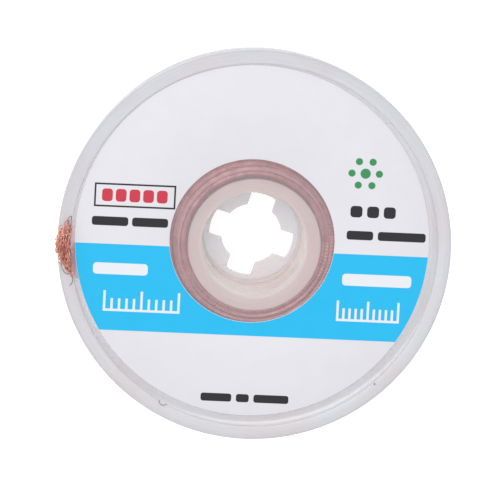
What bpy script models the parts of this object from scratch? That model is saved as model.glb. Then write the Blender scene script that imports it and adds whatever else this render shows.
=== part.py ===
"""Desoldering braid wound on a two-piece plastic bobbin, lying flat with its label up. Metres, +Z up.

The bobbin's axis is the Z axis and the back of its boss stands at Z = 0. The label's print reads along +X.
"""

import math

import bmesh
import bpy
from mathutils import Matrix, Vector

MM = 0.001

# Round pieces and fits
SIDES = 64
COIL_SIDES = 48
ROUND_PARTS = 2
SHARP_ANGLE = math.radians(30)
SEAT_GAP = 0.3 * MM
CUT_PAST = 0.5 * MM

# Flanges
FRONT_RADIUS = 23.0 * MM
FRONT_THICKNESS = 1.1 * MM
BACK_RADIUS = 22.3 * MM
BACK_THICKNESS = 1.1 * MM
FLANGE_ROUND = 0.35 * MM

# Raised rim round the front flange, and the notch through it
RIM_WIDTH = 1.55 * MM
RIM_HEIGHT = 0.5 * MM
RIM_ROUND = 0.22 * MM
NOTCH_WIDTH = 3.8 * MM
NOTCH_ROUND = 0.7 * MM
NOTCH_ANGLE = math.radians(183.0)

# Hub tube, its recessed mouth and the spigot that pushes into the back half
HUB_RADIUS = 7.75 * MM
BORE_MOUTH_RADIUS = 6.2 * MM
BORE_FOOT_RADIUS = 5.8 * MM
MOUTH_RADIUS = 8.75 * MM
MOUTH_DEPTH = 0.25 * MM
MOUTH_ROUND = 0.12 * MM
SPIGOT_WALL = 1.0 * MM
SPIGOT_LENGTH = 1.2 * MM

# Boss behind the back flange, with the plate that keys onto a spindle
BOSS_RADIUS = 8.4 * MM
BOSS_HEIGHT = 1.6 * MM
BOSS_ROUND = 0.25 * MM
SPINDLE_RADIUS = 3.5 * MM
KEYWAYS = 4
KEYWAY_WIDTH = 3.05 * MM
KEYWAY_REACH = 4.95 * MM
KEYWAY_ANGLE = math.radians(-15.7)
KEYWAY_END_PARTS = 4

# Paper label, stuck on a little off the axis, clear of the rim and of the recessed mouth
LABEL_RIM_MARGIN = 0.75 * MM
LABEL_MOUTH_MARGIN = 0.88 * MM
LABEL_THICKNESS = 0.15 * MM
LABEL_SHIFT = Vector((-0.3 * MM, 0.5 * MM, 0.0))

# Copper braid, wound in rows side by side
BRAID_LENGTH = 1.5
BRAID_WIDTH = 2.5 * MM
BRAID_THICKNESS = 0.6 * MM
BRAID_ROWS = 2
TURN_GROOVE = 0.16 * MM

# Loose end, from the last turn to the frayed tip in the notch
LEAD_PARTS = 16
LEAD_TWIST_START = 0.25
LEAD_TWIST = math.radians(90)
TIP_SIDES = 20
TIP_RINGS = 12
TIP_DEPTH = 1.7 * MM
TIP_HEIGHT = 4.0 * MM
TIP_ABOVE_RIM = 0.5 * MM

# Colour, roughness and metallic value of each material
FROSTED_PLASTIC = ((0.68, 0.68, 0.73), 0.45, 0.0)
LABEL_PAPER = ((0.80, 0.80, 0.84), 0.55, 0.0)
COPPER = ((0.72, 0.30, 0.18), 0.35, 1.0)

# Heights and radii that follow
BACK_FLANGE_BOTTOM = BOSS_HEIGHT
GROOVE_BOTTOM = BACK_FLANGE_BOTTOM + BACK_THICKNESS
GROOVE_WIDTH = BRAID_ROWS * BRAID_WIDTH + 2 * SEAT_GAP
GROOVE_TOP = GROOVE_BOTTOM + GROOVE_WIDTH
FRONT_FACE = GROOVE_TOP + FRONT_THICKNESS
RIM_TOP = FRONT_FACE + RIM_HEIGHT
RIM_INNER_RADIUS = FRONT_RADIUS - RIM_WIDTH
LABEL_RADIUS = RIM_INNER_RADIUS - LABEL_RIM_MARGIN
LABEL_HOLE_RADIUS = MOUTH_RADIUS + LABEL_MOUTH_MARGIN
SPIGOT_RADIUS = BORE_FOOT_RADIUS + SPIGOT_WALL
SPIGOT_FOOT = GROOVE_BOTTOM - SPIGOT_LENGTH
SOCKET_RADIUS = SPIGOT_RADIUS + SEAT_GAP
PLATE_TOP = SPIGOT_FOOT - SEAT_GAP
COIL_BOTTOM = GROOVE_BOTTOM + SEAT_GAP
COIL_TOP = GROOVE_TOP - SEAT_GAP
COIL_INNER_RADIUS = HUB_RADIUS + SEAT_GAP
COIL_RADIUS = math.sqrt(COIL_INNER_RADIUS**2 + BRAID_LENGTH * BRAID_THICKNESS / (math.pi * BRAID_ROWS))


def clear_scene():
    for obj in list(bpy.data.objects):
        bpy.data.objects.remove(obj, do_unlink=True)


def material(name, look):
    colour, roughness, metallic = look
    made = bpy.data.materials.new(name)
    made.use_nodes = True
    shader = made.node_tree.nodes["Principled BSDF"]
    shader.inputs["Base Color"].default_value = (*colour, 1.0)
    shader.inputs["Roughness"].default_value = roughness
    shader.inputs["Metallic"].default_value = metallic
    return made


def new_object(name, bm, made_of=None):
    """Turns a bmesh into an object, smooth where it is round and sharp at its edges."""
    bmesh.ops.recalc_face_normals(bm, faces=bm.faces)
    mesh = bpy.data.meshes.new(name)
    bm.to_mesh(mesh)
    bm.free()
    mesh.shade_smooth()
    mesh.set_sharp_from_angle(angle=SHARP_ANGLE)
    if made_of:
        mesh.materials.append(made_of)
    obj = bpy.data.objects.new(name, mesh)
    bpy.context.collection.objects.link(obj)
    return obj


def rounded(corners):
    """Outline through the corners (x, y, radius), each turned into an arc that touches both its sides."""
    outline = []
    for i, (x, y, radius) in enumerate(corners):
        here = Vector((x, y))
        back = (Vector(corners[i - 1][:2]) - here).normalized()
        ahead = (Vector(corners[(i + 1) % len(corners)][:2]) - here).normalized()
        if not radius:
            outline.append(here)
            continue
        half_angle = back.angle(ahead) / 2
        centre = here + (back + ahead).normalized() * radius / math.sin(half_angle)
        start = here + back * radius / math.tan(half_angle) - centre
        end = here + ahead * radius / math.tan(half_angle) - centre
        sweep = start.angle_signed(end)
        for part in range(ROUND_PARTS + 1):
            arm = start.copy()
            arm.rotate(Matrix.Rotation(-sweep * part / ROUND_PARTS, 2))
            outline.append(centre + arm)
    return outline


def turned(name, outline, made_of=None, sides=SIDES):
    """Turns a closed outline of radius and height about the Z axis."""
    bm = bmesh.new()
    points = [bm.verts.new((radius, 0.0, height)) for radius, height in outline]
    edges = [bm.edges.new((points[i - 1], points[i])) for i in range(len(points))]
    bmesh.ops.spin(
        bm,
        geom=points + edges,
        axis=(0.0, 0.0, 1.0),
        cent=(0.0, 0.0, 0.0),
        angle=math.tau,
        steps=sides,
        use_merge=True,
    )
    return new_object(name, bm, made_of)


def prism(name, outline, bottom, top):
    """Raises a flat outline from one height to another."""
    bm = bmesh.new()
    base = bm.faces.new([bm.verts.new((x, y, bottom)) for x, y in outline])
    raised = bmesh.ops.extrude_face_region(bm, geom=[base])
    raised_points = [item for item in raised["geom"] if isinstance(item, bmesh.types.BMVert)]
    bmesh.ops.translate(bm, verts=raised_points, vec=(0.0, 0.0, top - bottom))
    return new_object(name, bm)


def combine(target, tool, operation):
    """Cuts the tool out of the target, or joins it on, and keeps the tool out of sight."""
    modifier = target.modifiers.new(f"{operation.lower()} {tool.name}", "BOOLEAN")
    modifier.operation = operation
    modifier.solver = "EXACT"
    modifier.object = tool
    tool.hide_render = True
    tool.display_type = "WIRE"


def bobbin_front(plastic):
    """Front flange with its raised rim and recessed mouth, and the hub tube behind it, in one moulding."""
    mouth_floor = FRONT_FACE - MOUTH_DEPTH
    shoulder = GROOVE_BOTTOM + SEAT_GAP
    outline = rounded(
        [
            (BORE_FOOT_RADIUS, SPIGOT_FOOT, 0.0),
            (SPIGOT_RADIUS, SPIGOT_FOOT, 0.0),
            (SPIGOT_RADIUS, shoulder, 0.0),
            (HUB_RADIUS, shoulder, 0.0),
            (HUB_RADIUS, GROOVE_TOP, 0.0),
            (FRONT_RADIUS, GROOVE_TOP, FLANGE_ROUND),
            (FRONT_RADIUS, RIM_TOP, FLANGE_ROUND),
            (RIM_INNER_RADIUS, RIM_TOP, RIM_ROUND),
            (RIM_INNER_RADIUS, FRONT_FACE, RIM_ROUND),
            (MOUTH_RADIUS, FRONT_FACE, MOUTH_ROUND),
            (MOUTH_RADIUS, mouth_floor, MOUTH_ROUND),
            (BORE_MOUTH_RADIUS, mouth_floor, MOUTH_ROUND),
        ]
    )
    front = turned("bobbin_front", outline, plastic)
    combine(front, rim_notch(), "DIFFERENCE")
    return front


def rim_notch():
    """Cutter for the notch, from the rim's inner edge outwards."""
    half = NOTCH_WIDTH / 2
    outside = FRONT_RADIUS + CUT_PAST
    outline = rounded(
        [
            (RIM_INNER_RADIUS, -half, NOTCH_ROUND),
            (outside, -half, 0.0),
            (outside, half, 0.0),
            (RIM_INNER_RADIUS, half, NOTCH_ROUND),
        ]
    )
    cutter = prism("notch_cutter", outline, GROOVE_TOP - CUT_PAST, RIM_TOP + CUT_PAST)
    cutter.rotation_euler.z = NOTCH_ANGLE
    return cutter


def bobbin_back(plastic):
    """Back flange, the boss behind it and the plate across the boss, in one moulding."""
    outline = rounded(
        [
            (SPINDLE_RADIUS, 0.0, 0.0),
            (BOSS_RADIUS, 0.0, BOSS_ROUND),
            (BOSS_RADIUS, BACK_FLANGE_BOTTOM, BOSS_ROUND),
            (BACK_RADIUS, BACK_FLANGE_BOTTOM, FLANGE_ROUND),
            (BACK_RADIUS, GROOVE_BOTTOM, FLANGE_ROUND),
            (SOCKET_RADIUS, GROOVE_BOTTOM, 0.0),
            (SOCKET_RADIUS, PLATE_TOP, 0.0),
            (SPINDLE_RADIUS, PLATE_TOP, 0.0),
        ]
    )
    back = turned("bobbin_back", outline, plastic)
    combine(back, keyway_cutter(), "DIFFERENCE")
    return back


def keyway_cutter():
    """Cutter with one parallel arm for each keyway, rounded at its end to the reach."""
    half = KEYWAY_WIDTH / 2
    half_angle = math.asin(half / KEYWAY_REACH)
    inner_radius = half / math.sin(math.pi / KEYWAYS)
    outline = []
    for key in range(KEYWAYS):
        arm = math.tau * key / KEYWAYS
        for part in range(KEYWAY_END_PARTS + 1):
            angle = arm + half_angle * (2 * part / KEYWAY_END_PARTS - 1)
            outline.append((KEYWAY_REACH * math.cos(angle), KEYWAY_REACH * math.sin(angle)))
        corner = arm + math.pi / KEYWAYS
        outline.append((inner_radius * math.cos(corner), inner_radius * math.sin(corner)))
    cutter = prism("keyway_cutter", outline, -CUT_PAST, PLATE_TOP + CUT_PAST)
    cutter.rotation_euler.z = KEYWAY_ANGLE
    return cutter


def label(paper):
    bottom = FRONT_FACE + SEAT_GAP
    top = bottom + LABEL_THICKNESS
    outline = [
        (LABEL_HOLE_RADIUS, bottom),
        (LABEL_RADIUS, bottom),
        (LABEL_RADIUS, top),
        (LABEL_HOLE_RADIUS, top),
    ]
    sheet = turned("label", outline, paper)
    sheet.location = LABEL_SHIFT
    return sheet


def copper_braid(copper):
    """The wound rows as one ring, with the loose end joined on."""
    turns = round((COIL_RADIUS - COIL_INNER_RADIUS) / BRAID_THICKNESS)
    pitch = (COIL_RADIUS - COIL_INNER_RADIUS) / turns
    bottom = []
    top = []
    for turn in range(turns):
        valley = COIL_INNER_RADIUS + turn * pitch
        bottom += [(valley, COIL_BOTTOM + TURN_GROOVE), (valley + pitch / 2, COIL_BOTTOM)]
        top += [(valley, COIL_TOP - TURN_GROOVE), (valley + pitch / 2, COIL_TOP)]
    bottom.append((COIL_RADIUS, COIL_BOTTOM + TURN_GROOVE))
    top.append((COIL_RADIUS, COIL_TOP - TURN_GROOVE))
    seams = []
    for row in range(1, BRAID_ROWS):
        height = COIL_BOTTOM + row * BRAID_WIDTH
        seams += [
            (COIL_RADIUS, height - TURN_GROOVE),
            (COIL_RADIUS - TURN_GROOVE, height),
            (COIL_RADIUS, height + TURN_GROOVE),
        ]
    coil = turned("copper_braid", bottom + seams + top[::-1], copper, COIL_SIDES)
    combine(coil, lead(), "UNION")
    combine(coil, frayed_tip(), "UNION")
    return coil


def tip_centre():
    """Middle of the frayed tip, in the notch and a little above the rim."""
    radius = RIM_INNER_RADIUS + SEAT_GAP + TIP_DEPTH / 2
    height = RIM_TOP + TIP_ABOVE_RIM - TIP_HEIGHT / 2
    return Vector((radius * math.cos(NOTCH_ANGLE), radius * math.sin(NOTCH_ANGLE), height))


def lead():
    """Strip that leaves the front row on edge, in a straight line, and turns flat under the front flange."""
    tip = tip_centre().xy
    leave_radius = COIL_RADIUS - BRAID_THICKNESS
    leave_angle = NOTCH_ANGLE + math.acos(leave_radius / tip.length)
    start = leave_radius * Vector((math.cos(leave_angle), math.sin(leave_angle)))
    heading = (tip - start).normalized()
    end = tip - heading * TIP_DEPTH / 4
    side = Vector((-heading.y, heading.x, 0.0))
    up = Vector((0.0, 0.0, 1.0))
    ceiling = COIL_TOP - TURN_GROOVE
    bm = bmesh.new()
    rings = []
    for part in range(LEAD_PARTS + 1):
        share = part / LEAD_PARTS
        turned_share = max(0.0, (share - LEAD_TWIST_START) / (1 - LEAD_TWIST_START))
        twist = LEAD_TWIST * turned_share * turned_share * (3 - 2 * turned_share)
        half_width = (up * math.cos(twist) + side * math.sin(twist)) * BRAID_WIDTH / 2
        half_thickness = (side * math.cos(twist) - up * math.sin(twist)) * BRAID_THICKNESS / 2
        middle = start.lerp(end, share).to_3d()
        middle.z = ceiling - abs(half_width.z) - abs(half_thickness.z)
        corners = [
            middle - half_width - half_thickness,
            middle + half_width - half_thickness,
            middle + half_width + half_thickness,
            middle - half_width + half_thickness,
        ]
        rings.append([bm.verts.new(corner) for corner in corners])
    for first, second in zip(rings, rings[1:]):
        for i in range(4):
            bm.faces.new((first[i - 1], first[i], second[i], second[i - 1]))
    bm.faces.new(rings[0])
    bm.faces.new(rings[-1])
    return new_object("braid_lead", bm)


def frayed_tip():
    """Rounded lump of loose wires that fills the notch."""
    bm = bmesh.new()
    bmesh.ops.create_uvsphere(bm, u_segments=TIP_SIDES, v_segments=TIP_RINGS, radius=0.5)
    bmesh.ops.scale(bm, verts=bm.verts, vec=(TIP_DEPTH, NOTCH_WIDTH - 2 * SEAT_GAP, TIP_HEIGHT))
    lump = new_object("braid_tip", bm)
    lump.location = tip_centre()
    lump.rotation_euler.z = NOTCH_ANGLE
    return lump


def build():
    clear_scene()
    plastic = material("frosted_plastic", FROSTED_PLASTIC)
    bobbin_back(plastic)
    bobbin_front(plastic)
    copper_braid(material("copper", COPPER))
    label(material("label_paper", LABEL_PAPER))


build()
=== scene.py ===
# %% [markdown]
# # Desoldering braid on its bobbin
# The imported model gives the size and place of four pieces: two halves of a bobbin, a label and a wound
# copper braid. This lesson dresses them. It starts by loading them and by noting the box that they fill,
# because the finished pieces have to stay inside that box.

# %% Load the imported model
import math

import bmesh
import bpy
import numpy as np
from mathutils import Matrix, Vector


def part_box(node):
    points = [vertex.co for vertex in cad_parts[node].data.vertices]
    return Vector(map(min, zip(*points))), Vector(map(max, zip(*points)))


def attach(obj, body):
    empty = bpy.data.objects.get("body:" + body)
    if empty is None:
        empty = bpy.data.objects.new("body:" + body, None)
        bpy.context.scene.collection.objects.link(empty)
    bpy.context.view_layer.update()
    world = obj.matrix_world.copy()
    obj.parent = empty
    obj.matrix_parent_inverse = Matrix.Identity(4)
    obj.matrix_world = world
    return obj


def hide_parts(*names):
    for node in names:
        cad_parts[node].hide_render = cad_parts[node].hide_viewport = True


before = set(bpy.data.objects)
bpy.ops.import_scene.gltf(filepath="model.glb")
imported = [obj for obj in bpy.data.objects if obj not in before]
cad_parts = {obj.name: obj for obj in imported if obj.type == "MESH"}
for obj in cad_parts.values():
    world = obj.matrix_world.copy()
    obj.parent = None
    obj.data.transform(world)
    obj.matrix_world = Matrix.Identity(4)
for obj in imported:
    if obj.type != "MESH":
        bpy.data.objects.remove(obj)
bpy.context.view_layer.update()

MM = 0.001
print("nodes:", sorted(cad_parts))

# %% [markdown]
# ## Sizes that every piece shares
# A bobbin is turned about one axis, so most of its sizes are radii and heights. The ones that can be read
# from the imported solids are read, and the rest are repeated here as the maker's own numbers. The packed
# solids keep a small gap wherever two real pieces touch. The dressed pieces nearly close it, but the braid
# keeps its seat between the flanges, and the spigot its seat over the plate.

# %% Sizes of the bobbin
FRONT_LOW, FRONT_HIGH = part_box("bobbin_front")
BACK_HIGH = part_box("bobbin_back")[1]
BRAID_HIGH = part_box("copper_braid")[1]
LABEL_LOW, LABEL_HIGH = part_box("label")

FRONT_RADIUS = FRONT_HIGH.x
BACK_RADIUS = BACK_HIGH.x
RIM_TOP = FRONT_HIGH.z
RIM_HEIGHT = 0.5 * MM
FRONT_FACE = RIM_TOP - RIM_HEIGHT
FLANGE_THICKNESS = 1.1 * MM
GROOVE_TOP = FRONT_FACE - FLANGE_THICKNESS
GROOVE_BOTTOM = BACK_HIGH.z
RIM_WIDTH = 1.55 * MM
RIM_INNER_RADIUS = FRONT_RADIUS - RIM_WIDTH
HUB_RADIUS = 7.75 * MM
SEAT_GAP = 0.3 * MM
NOTCH_ANGLE = math.radians(183.0)
NOTCH_WIDTH = 3.8 * MM
print("front face at", round(FRONT_FACE / MM, 2), "mm")
print("groove", round((GROOVE_TOP - GROOVE_BOTTOM) / MM, 2), "mm wide")

# %% [markdown]
# ## Colour and node helpers
# Colours are picked as sRGB hex values, the way a paint chart gives them, and a shader wants them linear.
# One function does that for the whole file. Another adds a shader node with its settings and links in a
# single call, which keeps each material short enough to read at a glance.

# %% Helpers for materials
def srgb(code):
    """Linear RGBA of a hex colour such as 'c87850'."""
    channels = [int(code[i : i + 2], 16) / 255 for i in (0, 2, 4)]
    linear = [c / 12.92 if c <= 0.04045 else ((c + 0.055) / 1.055) ** 2.4 for c in channels]
    return (*linear, 1.0)


MULTIPLIED = {"operation": "MULTIPLY"}
MULTIPLIED_COLOURS = {"data_type": "RGBA", "blend_type": "MULTIPLY"}


def plug(tree, node, **sockets):
    """Fills a node's sockets. Each is named with _ for a space, or as i and its number.

    It takes a value, an output, or a node, of which the first output in use is linked.
    """
    for name, value in sockets.items():
        numbered = name[0] == "i" and name[1:].isdigit()
        socket = node.inputs[int(name[1:]) if numbered else name.replace("_", " ")]
        if isinstance(value, bpy.types.Node):
            value = next(output for output in value.outputs if output.enabled)
        if isinstance(value, bpy.types.NodeSocket):
            tree.links.new(value, socket)
        else:
            socket.default_value = value


def add_node(tree, kind, settings=None, **sockets):
    """Adds a shader node of a kind, with its settings and what goes into its sockets."""
    node = tree.nodes.new("ShaderNode" + kind)
    for name, value in (settings or {}).items():
        setattr(node, name, value)
    plug(tree, node, **sockets)
    return node


def set_stops(ramp, stops):
    """Gives a colour ramp its stops, each a place from 0 to 1 and a grey or a linear colour."""
    elements = ramp.color_ramp.elements
    while len(elements) < len(stops):
        elements.new(1.0)
    for element, (place, colour) in zip(elements, stops):
        element.position = place
        element.color = colour if isinstance(colour, tuple) else (colour, colour, colour, 1.0)
    return ramp


def new_material(name):
    """An empty material with its node tree, its Principled shader and the place on the object."""
    material = bpy.data.materials.new(name)
    material.use_nodes = True
    tree = material.node_tree
    place = add_node(tree, "TexCoord").outputs["Object"]
    return material, tree, tree.nodes["Principled BSDF"], place


print("grey 808080 is", round(srgb("808080")[0], 3), "in linear light")

# %% [markdown]
# ## Mesh helpers
# A lathe turns a drawn half-section round the axis, which is how the eye reads a moulded bobbin and how its
# mould is cut. Corners in the half-section carry a radius, because no moulded edge is sharp: those small
# rounds catch the thin bright lines that make plastic look real. Flat printed shapes are raised from an
# outline instead.

# %% Helpers for meshes
SHARP_ANGLE = math.radians(35)
LATHE_SIDES = 256


def polar(radius, angle):
    """The flat point at a distance and an angle from the axis."""
    return radius * math.cos(angle), radius * math.sin(angle)


def rounded(corners, parts=4):
    """Closed outline through (x, y, radius) corners, each with its round."""
    outline = []
    for i, (x, y, radius) in enumerate(corners):
        here = Vector((x, y))
        back = (Vector(corners[i - 1][:2]) - here).normalized()
        ahead = (Vector(corners[(i + 1) % len(corners)][:2]) - here).normalized()
        if not radius:
            outline.append(here)
            continue
        half_angle = back.angle(ahead) / 2
        centre = here + (back + ahead).normalized() * radius / math.sin(half_angle)
        start = here + back * radius / math.tan(half_angle) - centre
        end = here + ahead * radius / math.tan(half_angle) - centre
        sweep = start.angle_signed(end)
        for part in range(parts + 1):
            arm = start.copy()
            arm.rotate(Matrix.Rotation(-sweep * part / parts, 2))
            outline.append(centre + arm)
    return outline


def linked(name, data):
    """An object in the scene that shows a mesh, a lamp or a camera."""
    obj = bpy.data.objects.new(name, data)
    bpy.context.collection.objects.link(obj)
    return obj


def object_from(name, bm):
    """An object from a bmesh, smooth where it is round and sharp at its edges."""
    bmesh.ops.recalc_face_normals(bm, faces=bm.faces)
    mesh = bpy.data.meshes.new(name)
    bm.to_mesh(mesh)
    bm.free()
    mesh.shade_smooth()
    mesh.set_sharp_from_angle(angle=SHARP_ANGLE)
    return linked(name, mesh)


def lathe(name, outline):
    """Turns an outline of (radius, height) about the bobbin's axis."""
    bm = bmesh.new()
    points = [bm.verts.new((radius, 0.0, height)) for radius, height in outline]
    edges = [bm.edges.new((points[i - 1], points[i])) for i in range(len(points))]
    turn = {"cent": (0, 0, 0), "axis": (0, 0, 1), "angle": math.tau, "steps": LATHE_SIDES}
    bmesh.ops.spin(bm, geom=points + edges, use_merge=True, **turn)
    return object_from(name, bm)


def prism(bm, outline, bottom, top):
    """Adds a flat outline raised from one height to another."""
    base = bm.faces.new([bm.verts.new((x, y, bottom)) for x, y in outline])
    raised = bmesh.ops.extrude_face_region(bm, geom=[base])
    moved = [item for item in raised["geom"] if isinstance(item, bmesh.types.BMVert)]
    bmesh.ops.translate(bm, verts=moved, vec=(0, 0, top - bottom))


def cut(target, cutter):
    """Cuts one object out of another for good, and deletes the cutter."""
    modifier = target.modifiers.new("cut", "BOOLEAN")
    modifier.operation = "DIFFERENCE"
    modifier.object = cutter
    graph = bpy.context.evaluated_depsgraph_get()
    result = bpy.data.meshes.new_from_object(target.evaluated_get(graph))
    target.modifiers.clear()
    target.data = result
    target.data.set_sharp_from_angle(angle=SHARP_ANGLE)
    bpy.data.objects.remove(cutter)


def dress(obj, material, node):
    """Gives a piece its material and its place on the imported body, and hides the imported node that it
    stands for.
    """
    obj.data.materials.clear()
    obj.data.materials.append(material)
    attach(obj, "root")
    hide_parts(node)
    print(obj.name, len(obj.data.polygons), "faces")


print("a turned piece has", LATHE_SIDES, "sides")

# %% [markdown]
# ## Frosted polypropylene
# The bobbin is injection-moulded polypropylene without pigment. Its satin skin and the crystals inside it
# veil what lies behind without hiding it: a thin flange shows the copper through a faint haze, while a wall
# that is seen along its length turns milky, and so does each rounded edge. Over the mouth's bead the raised
# haze also paints a thin lighter ring, a painted highlight. Real refraction through so many thin walls
# would need a long render, so the haze is given by opacity, from a profile drawn against the distance from
# the axis. Streaks that run round the axis stand for the marks that turning left in the mould's steel, and
# slow waves for the flow of the melt. Streaks and satin grain are coarser than real ones, which would be
# too fine to show. The haze's tint carries painted light: pink near the notch and round the hub, a painted
# reflection of light off the copper close behind it, and near white over the bore wall, painted light where
# little light reaches inside.

# %% Haze of the bobbin, by radius in mm
PLATE_HAZE = 0.50
FOOT_HAZE = 0.86
WALL_HAZE = 0.82
FLANGE_HAZE = 0.21
MOUTH_HAZE_AND_HIGHLIGHT = 0.35
RING_HAZE = 0.42
RIM_HAZE = 0.8
EDGE_HAZE = 0.8
HAZE_PROFILE = [
    (5.50, PLATE_HAZE),  # the keyed plate at the foot of the bore
    (5.72, FOOT_HAZE),
    (6.15, WALL_HAZE),  # the hub tube, seen along its wall
    (7.70, WALL_HAZE),
    (7.82, FLANGE_HAZE + 0.05),  # the recess round the mouth
    (8.72, FLANGE_HAZE),
    # Painted highlight: the raised haze here paints a thin lighter ring over the recess's edge and its bead
    (8.80, MOUTH_HAZE_AND_HIGHLIGHT),  # the recess's edge and its bead
    (8.90, MOUTH_HAZE_AND_HIGHLIGHT),
    (8.96, FLANGE_HAZE),  # the flange, most of it under the label
    (19.80, FLANGE_HAZE),
    (20.00, RING_HAZE),  # the bare ring beyond the label
    (21.35, RING_HAZE),
    (21.50, RIM_HAZE),  # the rim
    (22.70, RIM_HAZE),
    (23.00, EDGE_HAZE),
]
PROFILE_REACH = 25.0


def profile(tree, radius, stops):
    """A grey or a colour read off a list of (radius in mm, value)."""
    share = add_node(tree, "Math", MULTIPLIED, i0=radius, i1=1 / (PROFILE_REACH * MM))
    ramp = add_node(tree, "ValToRGB", Fac=share)
    return set_stops(ramp, [(place / PROFILE_REACH, value) for place, value in stops])


print("haze over the rim:", RIM_HAZE, "and over the flange:", FLANGE_HAZE)

# %% Marks of the mould
GRAIN_MM = 0.12
STREAK_MM = 0.13
STREAK_CHANGE = (1.6, 1.6, 0.0)
FLOW_MM = 6.0


def radius_and_streaks(tree, place):
    """Distance from the axis, and fine streaks that run round it and change slowly on the way."""
    flat = add_node(tree, "VectorMath", MULTIPLIED, i0=place, i1=(1.0, 1.0, 0.0))
    radius = add_node(tree, "VectorMath", {"operation": "LENGTH"}, i0=flat)
    outward = add_node(tree, "VectorMath", {"operation": "NORMALIZE"}, i0=flat)
    outward = add_node(tree, "VectorMath", MULTIPLIED, i0=outward, i1=STREAK_CHANGE)
    across = add_node(tree, "Math", MULTIPLIED, i0=radius, i1=1 / (STREAK_MM * MM))
    across = add_node(tree, "CombineXYZ", Z=across)
    turned = add_node(tree, "VectorMath", {"operation": "ADD"}, i0=outward, i1=across)
    return radius, add_node(tree, "TexNoise", Vector=turned, Scale=1.0, Detail=2.0)


def moulded_skin(tree, place, streak):
    """Shallow turning marks with the fine grain of a satin mould over them."""
    ripple = add_node(tree, "Bump", Height=streak, Strength=0.12, Distance=0.01 * MM)
    grain = add_node(tree, "TexNoise", Vector=place, Scale=1 / (GRAIN_MM * MM), Detail=1.0)
    return add_node(tree, "Bump", Height=grain, Strength=0.15, Distance=0.02 * MM, Normal=ripple)


print("grain", GRAIN_MM, "mm, streaks", STREAK_MM, "mm and flow", FLOW_MM, "mm across")

# %% Tint of the haze, with painted light
CAST_MM = 9.0
HAZE_TINTS_AND_PAINTED_LIGHT = [
    (5.60, srgb("e4e5ea")),
    # Painted light: near white over the bore wall, where little light reaches inside
    (5.80, srgb("fbf4f1")),
    (6.18, srgb("fbf4f1")),
    # Painted reflection: pink over the hub and the recess, light bounced off the copper
    (6.32, srgb("e3d3d3")),
    (7.72, srgb("ddcccd")),
    (7.85, srgb("e0d0d8")),
    (19.8, srgb("dedde4")),
    (20.0, srgb("eef0f4")),
    (21.4, srgb("eaecf1")),
    (21.6, srgb("e3e4ea")),
    (22.7, srgb("dedfe5")),
    (23.0, srgb("cacad2")),
]
FAN_UNDER_FLANGE = Vector((-20.9 * MM, -1.3 * MM, FRONT_FACE - FLANGE_THICKNESS / 2))
FAN_SHAPE = (2.4, 1.0, 1.0)
FAN_NEAR = 1.6 * MM
FAN_FAR = 3.4 * MM
# Painted reflection: close above the copper fanned out under the flange, the haze's tint is painted pink
PAINTED_COPPER_GLOW = "ffd7df"


def painted_copper_glow_near_fan(tree, place):
    """Painted pink glow close above the copper that is fanned out under the flange, a painted reflection of
    its light, and white away from it.
    """
    apart = add_node(tree, "VectorMath", {"operation": "SUBTRACT"}, i0=place, i1=FAN_UNDER_FLANGE)
    apart = add_node(tree, "VectorMath", MULTIPLIED, i0=apart, i1=FAN_SHAPE)
    apart = add_node(tree, "VectorMath", {"operation": "LENGTH"}, i0=apart)
    far = add_node(tree, "MapRange", Value=apart, From_Min=FAN_NEAR, From_Max=FAN_FAR)
    glow_tint = add_node(tree, "ValToRGB", Fac=far)
    return set_stops(glow_tint, [(0.0, srgb(PAINTED_COPPER_GLOW)), (1.0, srgb("ffffff"))])


def haze_colour(tree, place, radius):
    """The haze's tint by radius with its painted light, times a faint blush in slow patches, times the
    painted copper glow near the fan.
    """
    cast = add_node(tree, "TexNoise", Vector=place, Scale=1 / (CAST_MM * MM), Detail=1.0)
    blush = add_node(tree, "ValToRGB", Fac=cast)
    set_stops(blush, [(0.42, srgb("ffffff")), (0.66, srgb("fff8f6"))])
    colour = profile(tree, radius, HAZE_TINTS_AND_PAINTED_LIGHT)
    for tint in (blush, painted_copper_glow_near_fan(tree, place)):
        colour = add_node(tree, "Mix", MULTIPLIED_COLOURS, i0=1.0, i6=colour, i7=tint)
    return colour


print("tints:", len(HAZE_TINTS_AND_PAINTED_LIGHT), "stops, warmer within", round(FAN_FAR / MM, 1), "mm of the fan")

# %% Material of the bobbin
def moulded_polypropylene():
    """Frosted plastic: opacity from the haze, made uneven by the streaks and by the flow of the melt."""
    material, tree, shader, place = new_material("moulded_frosted_polypropylene")
    radius, streak = radius_and_streaks(tree, place)
    flow = add_node(tree, "TexNoise", Vector=place, Scale=1 / (FLOW_MM * MM), Detail=3.0)
    plug(tree, flow, Distortion=0.8)
    lines = add_node(tree, "MapRange", Value=streak, From_Min=0.3, From_Max=0.7)
    plug(tree, lines, To_Min=0.96, To_Max=1.04)
    cloud = add_node(tree, "MapRange", Value=flow, To_Min=0.92, To_Max=1.08)
    uneven = add_node(tree, "Math", MULTIPLIED, i0=lines, i1=cloud)
    haze = add_node(tree, "Math", MULTIPLIED, i0=profile(tree, radius, HAZE_PROFILE), i1=uneven)
    haze.use_clamp = True
    satin = add_node(tree, "MapRange", Value=flow, To_Min=0.28, To_Max=0.36)
    skin = moulded_skin(tree, place, streak)
    plug(tree, shader, Base_Color=haze_colour(tree, place, radius), Roughness=satin)
    plug(tree, shader, Alpha=haze, Normal=skin, IOR=1.49)
    print(material.name, "has", len(tree.nodes), "nodes")
    return material


POLYPROPYLENE = moulded_polypropylene()

# %% [markdown]
# ## Front half of the bobbin
# The front moulding is a flange with a raised rim, a shallow recess round the mouth of the bore, and the
# hub tube that the braid is wound on. It is one half-section turned round the axis. A thin bead runs round
# the recess, and two small steps run round inside the bore, where the mould's pins meet: both catch a fine
# line of light. The notch in the rim, where the loose end comes out, is then cut with a rounded block, as
# the mould's own steel leaves it open.

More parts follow.
